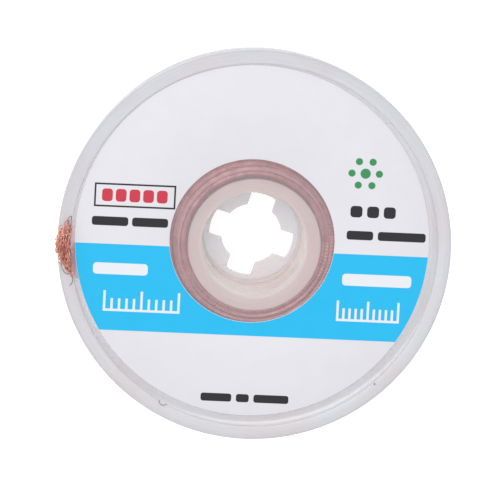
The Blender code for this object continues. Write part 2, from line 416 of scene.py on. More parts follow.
# %% Front moulding
BORE_MOUTH_RADIUS = 6.2 * MM
BORE_FOOT_RADIUS = 5.8 * MM
MOUTH_RADIUS = 8.75 * MM
MOUTH_DEPTH = 0.25 * MM
BEAD_HEIGHT = 0.07 * MM
BORE_RINGS = (6.85 * MM, 3.65 * MM)
BORE_RING_STEP = 0.07 * MM
SPIGOT_WALL = 1.0 * MM
SPIGOT_RADIUS = BORE_FOOT_RADIUS + SPIGOT_WALL
SPIGOT_FOOT = FRONT_LOW.z
FLANGE_ROUND = 0.35 * MM
TOUCH_GAP = 0.05 * MM
CUT_PAST = 0.5 * MM
NOTCH_ROUND = 0.7 * MM


def rim_notch():
    """A block with rounded inner corners, for cutting the notch."""
    half = NOTCH_WIDTH / 2
    past = FRONT_RADIUS + CUT_PAST
    corners = [(RIM_INNER_RADIUS, -half, NOTCH_ROUND), (past, -half, 0.0), (past, half, 0.0)]
    corners.append((RIM_INNER_RADIUS, half, NOTCH_ROUND))
    bm = bmesh.new()
    prism(bm, rounded(corners, parts=8), GROOVE_TOP - CUT_PAST, RIM_TOP + CUT_PAST)
    notch = object_from("notch", bm)
    notch.rotation_euler.z = NOTCH_ANGLE
    bpy.context.view_layer.update()
    return notch


def front_moulding():
    """The half-section's corners as (radius, height, round), turned and notched."""
    mouth_floor = FRONT_FACE - MOUTH_DEPTH
    bead_top = FRONT_FACE + BEAD_HEIGHT
    corners = [
        (BORE_FOOT_RADIUS, SPIGOT_FOOT, 0.1 * MM),
        (SPIGOT_RADIUS, SPIGOT_FOOT, 0.1 * MM),
        (SPIGOT_RADIUS, GROOVE_BOTTOM + TOUCH_GAP, 0.05 * MM),
        (HUB_RADIUS, GROOVE_BOTTOM + TOUCH_GAP, 0.05 * MM),
        (HUB_RADIUS, GROOVE_TOP, 0.2 * MM),
        (FRONT_RADIUS, GROOVE_TOP, FLANGE_ROUND),
        (FRONT_RADIUS, RIM_TOP, FLANGE_ROUND),
        (RIM_INNER_RADIUS, RIM_TOP, 0.22 * MM),
        (RIM_INNER_RADIUS, FRONT_FACE, 0.18 * MM),
        (MOUTH_RADIUS + 0.24 * MM, FRONT_FACE, 0.05 * MM),
        (MOUTH_RADIUS + 0.1 * MM, bead_top, 0.05 * MM),
        (MOUTH_RADIUS, bead_top, 0.04 * MM),
        (MOUTH_RADIUS, mouth_floor, 0.1 * MM),
        (BORE_MOUTH_RADIUS, mouth_floor, 0.15 * MM),
    ]
    for height in BORE_RINGS:
        share = (height - SPIGOT_FOOT) / (mouth_floor - SPIGOT_FOOT)
        wall = BORE_FOOT_RADIUS + (BORE_MOUTH_RADIUS - BORE_FOOT_RADIUS) * share
        corners.append((wall + BORE_RING_STEP / 2, height + BORE_RING_STEP, 0.02 * MM))
        corners.append((wall - BORE_RING_STEP / 2, height, 0.02 * MM))
    moulding = lathe("front_moulding", rounded(corners))
    cut(moulding, rim_notch())
    return moulding


dress(front_moulding(), POLYPROPYLENE, "bobbin_front")

# %% [markdown]
# ## Back half of the bobbin
# The back moulding is a slightly smaller flange with a boss behind it. A thin plate closes the boss, with a
# round hole and four parallel keyways that lock onto the spindle of a dispenser. The plate's cut is a cross
# with rounded ends, raised into a solid and taken away.

# %% Back moulding
SPINDLE_RADIUS = 3.5 * MM
KEYWAYS = 4
KEYWAY_WIDTH = 3.05 * MM
KEYWAY_REACH = 4.95 * MM
KEYWAY_ANGLE = math.radians(-15.7)
KEYWAY_END_PARTS = 8
BOSS_RADIUS = 8.4 * MM
BOSS_ROUND = 0.25 * MM
PLATE_TOP = SPIGOT_FOOT - SEAT_GAP


def keyway_outline():
    """A cross with one parallel arm for each keyway, rounded at its end to the reach."""
    half = KEYWAY_WIDTH / 2
    half_angle = math.asin(half / KEYWAY_REACH)
    inner = half / math.sin(math.pi / KEYWAYS)
    outline = []
    for key in range(KEYWAYS):
        arm = KEYWAY_ANGLE + math.tau * key / KEYWAYS
        for part in range(KEYWAY_END_PARTS + 1):
            outline.append(polar(KEYWAY_REACH, arm + half_angle * (2 * part / KEYWAY_END_PARTS - 1)))
        outline.append(polar(inner, arm + math.pi / KEYWAYS))
    return outline


def back_moulding():
    """The flange, its boss and the plate as one half-section, with the keyways cut through the plate."""
    flange_bottom = GROOVE_BOTTOM - FLANGE_THICKNESS
    socket = SPIGOT_RADIUS + TOUCH_GAP
    corners = [
        (SPINDLE_RADIUS, 0.0, 0.08 * MM),
        (BOSS_RADIUS, 0.0, BOSS_ROUND),
        (BOSS_RADIUS, flange_bottom, BOSS_ROUND),
        (BACK_RADIUS, flange_bottom, FLANGE_ROUND),
        (BACK_RADIUS, GROOVE_BOTTOM, FLANGE_ROUND),
        (socket, GROOVE_BOTTOM, 0.05 * MM),
        (socket, PLATE_TOP, 0.1 * MM),
        (SPINDLE_RADIUS, PLATE_TOP, 0.08 * MM),
    ]
    moulding = lathe("back_moulding", rounded(corners))
    bm = bmesh.new()
    prism(bm, keyway_outline(), -CUT_PAST, PLATE_TOP + CUT_PAST)
    cut(moulding, object_from("keyways", bm))
    return moulding


dress(back_moulding(), POLYPROPYLENE, "bobbin_back")

# %% [markdown]
# ## Coated label paper
# The label is coated paper: white clay over fibre, pressed smooth, so it shines a little and shows only a
# trace of cloudiness where fibres bunch. Paper reflects about 80 percent of the light, which is why it
# stays a shade darker than a lit studio floor. The inks are flat layers on it, a hundredth of a millimetre
# thick. Real fibres are finer than the grain here, which is drawn as coarse as it has to be to show.

# %% Materials of the label
PAPER_CLOUD_MM = 2.5
FIBRE_MM = 0.15


def coated_paper(name, colour, roughness):
    """Paper or ink on paper: a flat colour with the faint cloudiness and grain of pressed fibre."""
    material, tree, shader, place = new_material(name)
    cloud = add_node(tree, "TexNoise", Vector=place, Scale=1 / (PAPER_CLOUD_MM * MM), Detail=4.0)
    fibre = add_node(tree, "TexNoise", Vector=place, Scale=1 / (FIBRE_MM * MM), Detail=2.0)
    lift = add_node(tree, "MapRange", Value=cloud, To_Min=0.97, To_Max=1.03)
    shade = add_node(tree, "Mix", MULTIPLIED_COLOURS, i0=1.0, i6=srgb(colour), i7=lift)
    bump = add_node(tree, "Bump", Height=fibre, Strength=0.15, Distance=0.01 * MM)
    plug(tree, shader, Base_Color=shade, Roughness=roughness, Normal=bump)
    return material


LABEL_PAPER = coated_paper("coated_label_paper", "e9e8ee", 0.5)
CYAN_INK = coated_paper("printed_cyan_ink", "0cc0f6", 0.5)
BLACK_INK = coated_paper("printed_black_ink", "1c1a22", 0.4)
RED_INK = coated_paper("printed_red_ink", "d2334a", 0.42)
GREEN_INK = coated_paper("printed_green_ink", "35955a", 0.42)
WHITE_INK = coated_paper("bare_paper_knockout", "eef2f8", 0.5)
print(LABEL_PAPER.name, "and", [ink.name for ink in (CYAN_INK, BLACK_INK, RED_INK, GREEN_INK, WHITE_INK)])

# %% [markdown]
# ## The label and its print
# The label is a ring of paper, stuck on a little off the axis, as a hand-fed labeller leaves it. Its print
# is laid out in the label's own frame: a cyan band across the lower half, and neutral marks above and below
# it. The band is one outline that follows the paper's two edges, so it ends exactly where the paper does.

# %% Paper ring
LABEL_RADIUS = (LABEL_HIGH.x - LABEL_LOW.x) / 2
LABEL_CENTRE = Vector(((LABEL_LOW.x + LABEL_HIGH.x) / 2, (LABEL_LOW.y + LABEL_HIGH.y) / 2))
LABEL_MOUTH_MARGIN = 0.88 * MM
LABEL_HOLE_RADIUS = MOUTH_RADIUS + LABEL_MOUTH_MARGIN
GLUE = 0.02 * MM
PAPER_THICKNESS = 0.12 * MM
PAPER_EDGE = 0.03 * MM
PAPER_BOTTOM = FRONT_FACE + GLUE
PAPER_TOP = PAPER_BOTTOM + PAPER_THICKNESS


def paper_ring():
    """A flat ring with a slightly crushed edge, round the label's own centre."""
    corners = [
        (LABEL_HOLE_RADIUS, PAPER_BOTTOM, 0.0),
        (LABEL_RADIUS, PAPER_BOTTOM, 0.0),
        (LABEL_RADIUS, PAPER_TOP, PAPER_EDGE),
        (LABEL_HOLE_RADIUS, PAPER_TOP, PAPER_EDGE),
    ]
    ring = lathe("label_paper", rounded(corners, parts=2))
    ring.data.transform(Matrix.Translation(LABEL_CENTRE.to_3d()))
    return ring


dress(paper_ring(), LABEL_PAPER, "label")

# %% Print helpers
INK = 0.012 * MM
INK_SUNK = 0.4
BAR_ROUND = 0.6


def arc(radius, start, end, parts):
    """Points on the label from one angle to another."""
    return [polar(radius, start + (end - start) * i / parts) for i in range(parts + 1)]


def bar(centre, size, radius=None):
    """Outline of an upright bar, rounded by a share of its shorter half or by a given radius."""
    x, y = centre
    half_x, half_y = size[0] / 2, size[1] / 2
    radius = min(half_x, half_y) * BAR_ROUND if radius is None else radius
    corners = ((-1, -1), (1, -1), (1, 1), (-1, 1))
    return rounded([(x + across * half_x, y + up * half_y, radius) for across, up in corners])


def printed(name, outlines, ink, layer=0):
    """One inked piece made of several flat shapes, given in mm from the label's centre."""
    bm = bmesh.new()
    bottom = PAPER_TOP + (layer - INK_SUNK) * INK
    for outline in outlines:
        prism(bm, [(x * MM, y * MM) for x, y in outline], bottom, bottom + INK)
    obj = object_from(name, bm)
    obj.data.transform(Matrix.Translation(LABEL_CENTRE.to_3d()))
    dress(obj, ink, "label")


print("ink", round(INK / MM, 3), "mm thick")

# %% Cyan band
BAND_TOP = -1.07
BAND_BOTTOM = -11.25
BAND_MARGIN = 0.04


def cyan_band():
    """One outline: up the paper's left edge, under its hole, and down its right edge. In mm."""
    outer = LABEL_RADIUS / MM - BAND_MARGIN
    inner = LABEL_HOLE_RADIUS / MM + BAND_MARGIN
    top_outer = math.asin(BAND_TOP / outer)
    top_inner = math.asin(BAND_TOP / inner)
    bottom_outer = math.asin(BAND_BOTTOM / outer)
    left_side = arc(outer, math.pi - bottom_outer, math.pi - top_outer, 24)
    hole = arc(inner, math.pi - top_inner, math.tau + top_inner, 64)
    right_side = arc(outer, top_outer, bottom_outer, 24)
    return left_side + hole + right_side


printed("cyan_band", [cyan_band()], CYAN_INK)

# %% [markdown]
# ## Neutral marks
# The marks are what a printer calls greeking: plain bars of the weight and length of a line of type. Two
# short rules with tick marks stand on the band, and a ring of dots at the upper right. All places are in mm
# from the label's centre.

# %% Shapes of the marks
def words(left, baseline, height, lengths, gap):
    """A greeked line: one bar for each word."""
    bars = []
    for length in lengths:
        bars.append(bar((left + length / 2, baseline + height / 2), (length, height)))
        left += length + gap
    return bars


def frame_box(left, bottom, width, height, line):
    """Four thin strips that make a rectangle."""
    right, top = left + width, bottom + height
    strips = [bar(((left + right) / 2, y), (width + line, line), 0.0) for y in (bottom, top)]
    strips += [bar((x, (bottom + top) / 2), (line, height - line), 0.0) for x in (left, right)]
    return strips


def rule(left, baseline, length, ticks, heights, line):
    """A short measuring rule: a base line with upright ticks, each fifth one taller."""
    marks = [bar((left + length / 2, baseline), (length + line, line), 0.0)]
    for tick in range(ticks):
        height = heights[0] if tick % 5 == 0 else heights[1]
        centre = (left + length * tick / (ticks - 1), baseline + (height + line) / 2)
        marks.append(bar(centre, (line, height), 0.0))
    return marks


def dot(centre, radius, parts):
    """A round dot."""
    return [(centre[0] + x, centre[1] + y) for x, y in arc(radius, 0, math.tau, parts)[:-1]]


print("three words make", len(words(0.0, 0.0, 1.0, (1.0, 2.0, 3.0), 0.5)), "bars")

# %% Marks in black, red and green
WORD_GAP = 0.55
DOT_RING = (12.84, 8.5)
DOT_RING_RADIUS = 1.6
DOTS = 6

black = frame_box(left=-18.55, bottom=3.4, width=9.3, height=2.6, line=0.2)
black += words(left=-18.8, baseline=1.1, height=1.05, lengths=(4.25, 4.2), gap=0.45)
black += words(left=11.3, baseline=3.3, height=1.35, lengths=(1.4, 1.4, 1.4), gap=WORD_GAP)
black += words(left=11.0, baseline=0.65, height=1.05, lengths=(3.1, 5.6), gap=WORD_GAP)
black += words(left=-5.1, baseline=-19.15, height=0.95, lengths=(3.6, 1.5, 4.1), gap=WORD_GAP)
printed("black_marks", black, BLACK_INK)

red = words(left=-17.75, baseline=3.95, height=1.5, lengths=(1.25,) * 5, gap=0.35)
printed("red_marks", red, RED_INK)

green = [dot(DOT_RING, 0.6, 32)]
for step in range(DOTS):
    x, y = polar(DOT_RING_RADIUS, math.tau * step / DOTS)
    green.append(dot((DOT_RING[0] + x, DOT_RING[1] + y), 0.42, 24))
printed("green_marks", green, GREEN_INK)

# %% Marks in white on the band
TICKS = 11
TICK_HEIGHTS = (2.15, 1.25)
TICK_LINE = 0.28

white = words(left=-18.4, baseline=-4.65, height=1.35, lengths=(6.4,), gap=WORD_GAP)
white += rule(-16.9, -8.85, 8.7, TICKS, TICK_HEIGHTS, TICK_LINE)
white += words(left=10.75, baseline=-4.8, height=1.4, lengths=(8.1,), gap=WORD_GAP)
white += rule(10.4, -8.9, 7.1, TICKS, TICK_HEIGHTS, TICK_LINE)
printed("white_marks", white, WHITE_INK, layer=1)

# %% [markdown]
# ## Drawn copper wire
# The braid is woven from bare copper wire about a tenth of a millimetre thick, drawn through a die and
# coated with a trace of flux. Copper is a metal, so its colour is all in the reflection, and it keeps the
# default IOR. Drawing leaves the wire bright; handling and flux dull it unevenly, which a slow noise in
# colour and roughness gives. Four finishes come from one function: the plain wire of the last turns, the
# flux-dulled wire inside the coil and in the loose end, its colour raised and turned mauver as painted
# light that makes up for what the flange's haze takes away, thin strands that have tarnished to a grey
# brown, and the tuft's sprung wires, painted the brightest as painted light that makes up for the shade
# inside the tangle. The fine unevenness of the drawn surface is coarser here than on real wire.

# %% Material of the braid
PATCH_MM = 1.6
DRAWING_MM = 0.25


def drawn_copper(name, dull, bright, roughness):
    """Bare copper wire: two tones in patches, the duller one also the rougher."""
    material, tree, shader, place = new_material(name)
    patch = add_node(tree, "TexNoise", Vector=place, Scale=1 / (PATCH_MM * MM), Detail=6.0)
    plug(tree, patch, Roughness=0.72)
    fine = add_node(tree, "TexNoise", Vector=place, Scale=1 / (DRAWING_MM * MM), Detail=2.0)
    tone = add_node(tree, "ValToRGB", Fac=patch)
    set_stops(tone, [(0.34, srgb(dull)), (0.62, srgb(bright))])
    rough = add_node(tree, "MapRange", Value=patch, To_Min=roughness[0], To_Max=roughness[1])
    bump = add_node(tree, "Bump", Height=fine, Strength=0.3, Distance=0.01 * MM)
    plug(tree, shader, Base_Color=tone, Roughness=rough, Normal=bump, Metallic=1.0)
    return material


COPPER = drawn_copper("drawn_bare_copper", "cc8470", "f4b4a0", (0.5, 0.36))
# Painted light: the fluxed copper's colour is raised and turned mauver to make up for the light that the
# flange's haze takes away
FLUXED_COPPER_PAINTED_LIGHT = drawn_copper("fluxed_copper_painted_light", "b06c6a", "e0a099", (0.52, 0.38))
DULLED_COPPER = drawn_copper("tarnished_bare_copper", "74666a", "998a8a", (0.6, 0.5))
# Painted light: the tuft's copper is painted lighter than bare copper, to make up for the shade inside the
# tangle
TUFT_COPPER_PAINTED_LIGHT = drawn_copper("tuft_copper_painted_light", "c66e5d", "ffcdbb", (0.31, 0.18))
print("finishes:", [made.name for made in (COPPER, FLUXED_COPPER_PAINTED_LIGHT, DULLED_COPPER, TUFT_COPPER_PAINTED_LIGHT)])

# %% [markdown]
# ## The wound turns
# Inside the groove the braid lies in two rows of flat turns, one on the other. Only the last turn shows its
# face; of the others the eye sees edges, through the frosted flanges, as fine rings. They are one solid
# here: a section with a ridge for each turn, turned round the axis, with each ridge scalloped where wires
# wrap round the edge.

# %% Inner turns
BRAID_WIDTH = 2.5 * MM
BRAID_THICKNESS = 0.6 * MM
COIL_BOTTOM = GROOVE_BOTTOM + SEAT_GAP
COIL_TOP = GROOVE_TOP - SEAT_GAP
COIL_INNER_RADIUS = HUB_RADIUS + 0.1 * MM
COIL_RADIUS = BRAID_HIGH.x
TURN_GROOVE = 0.12 * MM
WIRE = 0.13 * MM
CARRIERS = 8
BRAID_PITCH = 6.4 * MM
SCALLOP = 0.035 * MM
SWAY = 0.05 * MM
COIL_STEPS = 900


def wound_turns():
    """A section with a ridge for each turn, its points carried round the axis in even steps."""
    outer = COIL_RADIUS - BRAID_THICKNESS - TOUCH_GAP
    turns = round((outer - COIL_INNER_RADIUS) / BRAID_THICKNESS)
    pitch = (outer - COIL_INNER_RADIUS) / turns
    across = (0.0, 0.2, 0.5, 0.8)
    crown = (1.0, 0.35, 0.0, 0.35)
    radii, depths = [], []
    for turn in range(turns):
        radii += [COIL_INNER_RADIUS + (turn + share) * pitch for share in across]
        depths += [TURN_GROOVE * dip for dip in crown]
    radii.append(outer)
    depths.append(TURN_GROOVE)
    radii, depths = np.array(radii), np.array(depths)
    rng = np.random.default_rng(7)
    angles = np.linspace(0, math.tau, COIL_STEPS, endpoint=False)[:, None]
    ridge = np.arange(len(radii)) // len(across)
    phase = rng.uniform(0, math.tau, turns + 1)[ridge]
    beats = np.round(math.tau * radii / (BRAID_PITCH / (2 * CARRIERS)))
    scallop = SCALLOP * (0.5 + 0.5 * np.cos(angles * beats + phase))
    scallop *= depths < TURN_GROOVE
    reach = radii + SWAY * np.sin(angles * 3 + phase) * (ridge > 0)
    x, y = reach * np.cos(angles), reach * np.sin(angles)
    bottom = np.stack([x, y, COIL_BOTTOM + depths + scallop], axis=2)
    top = np.stack([x, y, COIL_TOP - depths - scallop], axis=2)
    return grid_object("wound_turns", np.concatenate([bottom, top[:, ::-1]], axis=1))


def grid_object(name, points):
    """Skins a grid of points that closes on itself both ways."""
    rows, columns = points.shape[:2]
    index = np.arange(rows * columns).reshape(rows, columns)
    next_row = np.roll(index, -1, axis=0)
    faces = np.stack([index, next_row, np.roll(next_row, -1, axis=1), np.roll(index, -1, axis=1)], axis=2)
    return mesh_object(name, points.reshape(-1, 3), faces.reshape(-1, 4))


def mesh_object(name, points, faces):
    """A smooth object from arrays of points and of four-sided faces."""
    mesh = bpy.data.meshes.new(name)
    mesh.vertices.add(len(points))
    mesh.vertices.foreach_set("co", points.astype(np.float32).ravel())
    mesh.loops.add(faces.size)
    mesh.loops.foreach_set("vertex_index", faces.astype(np.int32).ravel())
    mesh.polygons.add(len(faces))
    mesh.polygons.foreach_set("loop_start", np.arange(0, faces.size, 4, dtype=np.int32))
    mesh.polygons.foreach_set("loop_total", np.full(len(faces), 4, dtype=np.int32))
    mesh.update(calc_edges=True)
    mesh.validate()
    mesh.shade_smooth()
    return linked(name, mesh)


# The coil's copper carries painted light that makes up for what the flange's haze takes away
dress(wound_turns(), FLUXED_COPPER_PAINTED_LIGHT, "copper_braid")

# %% [markdown]
# ## Weaving the flat braid
# A flat braid is a woven tube pressed flat. Half of its carriers run clockwise round the tube and half the
# other way, and each passes over one and under the next. Here every wire is a thin tube along a path with
# three parts: how far it has gone along the braid, where it is across the flattened tube, and whether it is
# over or under. The same function weaves the last turn of each row and the loose end.

# %% Weave
WIRES_PER_CARRIER = 3
STRAND_SPREAD = 0.24
EDGE_TURN = 0.985
FACE_FLATNESS = 3.5
WEAVE_LIFT = 0.55
SLACK = 0.16 * MM
TIP_TAPER = 0.25


def unit(vectors):
    """Vectors of the same direction and of length one."""
    return vectors / np.linalg.norm(vectors, axis=-1, keepdims=True)


def tubes(paths, radius, sides=3):
    """Points and faces of thin tubes along an array of paths (path, point, xyz), narrower at their ends."""
    tangents = unit(np.gradient(paths, axis=1))
    normals = np.zeros_like(paths)
    normals[:, 0] = unit(np.cross(tangents[:, 0], np.array([0.3, 0.5, 0.81])))
    for i in range(1, paths.shape[1]):
        carried, ahead = normals[:, i - 1], tangents[:, i]
        normals[:, i] = unit(carried - ahead * (carried * ahead).sum(1, keepdims=True))
    binormals = np.cross(tangents, normals)
    thickness = np.full(paths.shape[1], radius)
    thickness[[0, -1]] = radius * TIP_TAPER
    rings = []
    for side in range(sides):
        angle = math.tau * side / sides
        outward = normals * math.cos(angle) + binormals * math.sin(angle)
        rings.append(paths + outward * thickness[None, :, None])
    points = np.stack(rings, axis=2)
    count, length = paths.shape[:2]
    index = np.arange(count * length * sides).reshape(count, length, sides)
    here, ahead = index[:, :-1], index[:, 1:]
    faces = np.stack([here, np.roll(here, -1, axis=2), np.roll(ahead, -1, axis=2), ahead], axis=3)
    return points.reshape(-1, 3), faces.reshape(-1, 4)


def weave(places, across, through, distance, width, thickness, loose=0.0):
    """Paths of each wire of a flat braid along places, with unit vectors across and through it."""
    paths = []
    half_width = width / 2 - WIRE
    half_thickness = thickness / 2 - WIRE * 1.2
    wobble = np.random.default_rng(5)
    turn = distance / BRAID_PITCH
    for direction in (1, -1):
        over = direction * np.cos(math.tau * CARRIERS * turn)
        for carrier in range(CARRIERS):
            for wire in range(WIRES_PER_CARRIER):
                offset = (wire - (WIRES_PER_CARRIER - 1) / 2) * STRAND_SPREAD
                angle = direction * math.tau * turn + math.tau * (carrier + offset) / CARRIERS
                u = np.arcsin(EDGE_TURN * np.cos(angle)) / math.asin(EDGE_TURN) * half_width
                face = np.tanh(FACE_FLATNESS * np.sin(angle)) / math.tanh(FACE_FLATNESS)
                v = face * (half_thickness + WEAVE_LIFT * WIRE * over)
                slack = loose * wobble.normal(0, SLACK, 2)[:, None]
                u, v = u + slack[0], v + slack[1] * 0.5
                paths.append(places + across * u[:, None] + through * v[:, None])
    return np.array(paths)


print("wires in the braid:", 2 * CARRIERS * WIRES_PER_CARRIER)

# %% [markdown]
# ## Last turns and the loose end
# The back row's last turn closes on itself out of sight. The front row's last turn leaves the coil in a
# straight line, starts on edge and turns flat just under the front flange, where it reaches the notch.
# There its weave opens into a fan, which the flange holds down: wires that would reach past the rim's inner
# edge are drawn back.

# %% Last turn of each row
TIP_DEPTH = 1.7 * MM
TIP_RADIUS = RIM_INNER_RADIUS + SEAT_GAP + TIP_DEPTH / 2
TIP = Vector(polar(TIP_RADIUS, NOTCH_ANGLE))
LAST_RADIUS = COIL_RADIUS - BRAID_THICKNESS / 2
LEAVE_ANGLE = NOTCH_ANGLE + math.acos(LAST_RADIUS / TIP_RADIUS)
WOVEN_WIDTH = BRAID_WIDTH - 0.1 * MM


def last_turn(name, height, start, step=0.2 * MM):
    """Weaves one turn of braid standing on edge round the coil."""
    count = int(math.tau * LAST_RADIUS / step)
    angles = start + math.tau * np.linspace(0, 1, count)
    outward = np.stack([np.cos(angles), np.sin(angles), np.zeros(count)], axis=1)
    places = outward * LAST_RADIUS
    places[:, 2] = height
    across = np.tile([0.0, 0.0, 1.0], (count, 1))
    distance = np.abs(angles - start) * LAST_RADIUS
    paths = weave(places, across, outward, distance, WOVEN_WIDTH, BRAID_THICKNESS)
    return mesh_object(name, *tubes(paths, WIRE / 2))


BACK_ROW = COIL_BOTTOM + BRAID_WIDTH / 2
FRONT_ROW = COIL_TOP - BRAID_WIDTH / 2
dress(last_turn("last_turn_back", BACK_ROW, start=0.4), COPPER, "copper_braid")
dress(last_turn("last_turn_front", FRONT_ROW, start=LEAVE_ANGLE), COPPER, "copper_braid")

# %% Loose end
TWIST_FROM = 0.25
FAN_FROM = 0.68
FAN = 1.5
FAN_DRIFT = 0.9 * MM
FAN_REACH = RIM_INNER_RADIUS - 0.15 * MM
FAN_PAST_REACH = 0.15
LEAD_SHORT_OF_TIP = 1.1 * MM


def loose_end(step=0.16 * MM):
    """Weaves the lead from the coil to the notch, turning from on edge to flat."""
    start = LAST_RADIUS * Vector(polar(1.0, LEAVE_ANGLE))
    heading = (TIP - start).normalized()
    length = (TIP - start).length - LEAD_SHORT_OF_TIP
    count = int(length / step)
    share = np.linspace(0, 1, count)
    eased = np.clip((share - TWIST_FROM) / (1 - TWIST_FROM), 0, 1)
    twist = math.pi / 2 * eased * eased * (3 - 2 * eased)
    up = np.array([0.0, 0.0, 1.0])
    side = np.array([-heading.y, heading.x, 0.0])
    on_edge, flat = np.cos(twist)[:, None], np.sin(twist)[:, None]
    across = up * on_edge + side * flat
    through = side * on_edge - up * flat
    places = np.array(start.to_3d()) + np.array(heading.to_3d()) * (share * length)[:, None]
    places[:, 2:] = COIL_TOP - (BRAID_WIDTH / 2 * on_edge + BRAID_THICKNESS / 2 * flat)
    opened = np.clip((share - FAN_FROM) / (1 - FAN_FROM), 0, 1) ** 1.5
    places += side * (FAN_DRIFT * opened)[:, None]
    width = WOVEN_WIDTH * (1 + FAN * opened)
    paths = weave(places, across, through, share * length, width, BRAID_THICKNESS, opened)
    radius = np.hypot(paths[..., 0], paths[..., 1])
    held = np.minimum(radius, FAN_REACH + FAN_PAST_REACH * np.maximum(radius - FAN_REACH, 0))
    paths[..., :2] *= (held / radius)[..., None]
    print("lead is", round(length / MM, 1), "mm long")
    return mesh_object("loose_end", *tubes(paths, WIRE / 2, sides=4))


# The lead's copper carries painted light that makes up for what the flange's haze takes away
dress(loose_end(), FLUXED_COPPER_PAINTED_LIGHT, "copper_braid")

# %% [markdown]
# ## The frayed tip
# Where the braid was cut its weave has let go, and the wires have sprung into a tangled tuft that fills the
# notch and spills over the rim. Each wire is a short random walk that keeps some of its direction, so it
# curls instead of zigzagging, and that is held inside the tuft's outline: widest in the middle and tapering
# up and down the rim. Some wires still run together along the rim, as if combed, and are drawn as shallow
# waves.

# %% Places in the notch
# Places along the rim, and how far the tuft reaches out from the rim's inner edge there, in mm
TUFT_AT = (-3.45, -3.1, -2.0, -1.2, -0.2, 1.0, 2.0, 2.7, 3.6, 4.0)
TUFT_REACH = (0.05, 0.2, 1.0, 1.5, 1.84, 1.74, 1.3, 0.72, 0.5, 0.15)
TUFT_LOWEST = GROOVE_TOP / MM - 0.4
TUFT_HIGHEST = BRAID_HIGH.z / MM - 0.12
LEAST_RIM_HEIGHT = 0.08


def notch_frame():
    """Unit vectors at the notch: along the rim towards the label's top, and outward."""
    outward = np.array([*polar(1.0, NOTCH_ANGLE), 0.0])
    along = np.array([math.sin(NOTCH_ANGLE), -math.cos(NOTCH_ANGLE), 0.0])
    return along, outward


def to_world(places):
    """From (along the rim, out from its inner edge, height) in mm to the scene."""
    along, outward = notch_frame()
    out = RIM_INNER_RADIUS + places[..., 1:2] * MM
    sag = out - np.sqrt(np.maximum(out**2 - (places[..., :1] * MM) ** 2, 0.0))
    world = along * places[..., :1] * MM + outward * (out - sag)
    world[..., 2] = places[..., 2] * MM
    return world


print("tuft from", round(TUFT_LOWEST, 2), "to", round(TUFT_HIGHEST, 2), "mm high")

# %% Combed wires
COMBED_WIRES = 40
TUFT_POINTS = 50


def combed_wires(rng):
    """Wires that still run together, along the rim, in shallow waves."""
    share = np.linspace(0, 1, TUFT_POINTS)[None, :]
    upper = 0.6 + 3.1 * rng.uniform(0, 1, (COMBED_WIRES, 1)) ** 2
    lower = rng.uniform(-3.4, -1.2, (COMBED_WIRES, 1))
    along = upper + (lower - upper) * share
    side = rng.uniform(0.1, 0.9, (COMBED_WIRES, 1))
    phase = rng.uniform(0, math.tau, (COMBED_WIRES, 3, 1))
    rate = rng.uniform(1.2, 3.2, (COMBED_WIRES, 2, 1))
    out = side * np.interp(along, TUFT_AT, TUFT_REACH)
    out += 0.1 * np.sin(rate[:, 0] * along + phase[:, 0]) * (1 - np.abs(2 * share - 1) ** 4)
    along += 0.05 * np.sin(2 * rate[:, 1] * along + phase[:, 1])
    bottom = RIM_TOP / MM + LEAST_RIM_HEIGHT
    rise = rng.uniform(0.15, 0.95, (COMBED_WIRES, 1)) * np.sin(math.pi * share) ** 0.6
    height = bottom + (TUFT_HIGHEST - bottom) * rise
    out = np.clip(out, 0.02, np.interp(along, TUFT_AT, TUFT_REACH) + 0.05)
    return np.stack([along, out, height], axis=2)


print("combed wires:", COMBED_WIRES)

# %% Tangled wires
TUFT_WIRES = 84
TUFT_STEP = 0.08
TUFT_WIRE = 0.115 * MM
KEPT_CURL = 0.93
NEW_CURL = 0.35


def pushed_back(place, reach):
    """How hard the tuft's outline turns each wire back, along its three directions."""
    push = np.zeros_like(place)
    push[:, 1] -= np.clip(place[:, 1] - 0.9 * reach, 0, 0.3) * 2.2
    push[:, 1] += np.clip(0.12 - place[:, 1], 0, 0.3) * 2.2
    push[:, 2] -= np.clip(place[:, 2] - TUFT_HIGHEST + 0.25, 0, 0.4) * 2.0
    push[:, 2] += np.clip(TUFT_LOWEST + 0.25 - place[:, 2], 0, 0.4) * 2.0
    push[:, 0] -= np.clip(place[:, 0] - 1.9, 0, 1.0) * 0.8
    push[:, 0] -= np.clip(place[:, 0] + 2.8, -1.0, 0) * 0.8
    return push


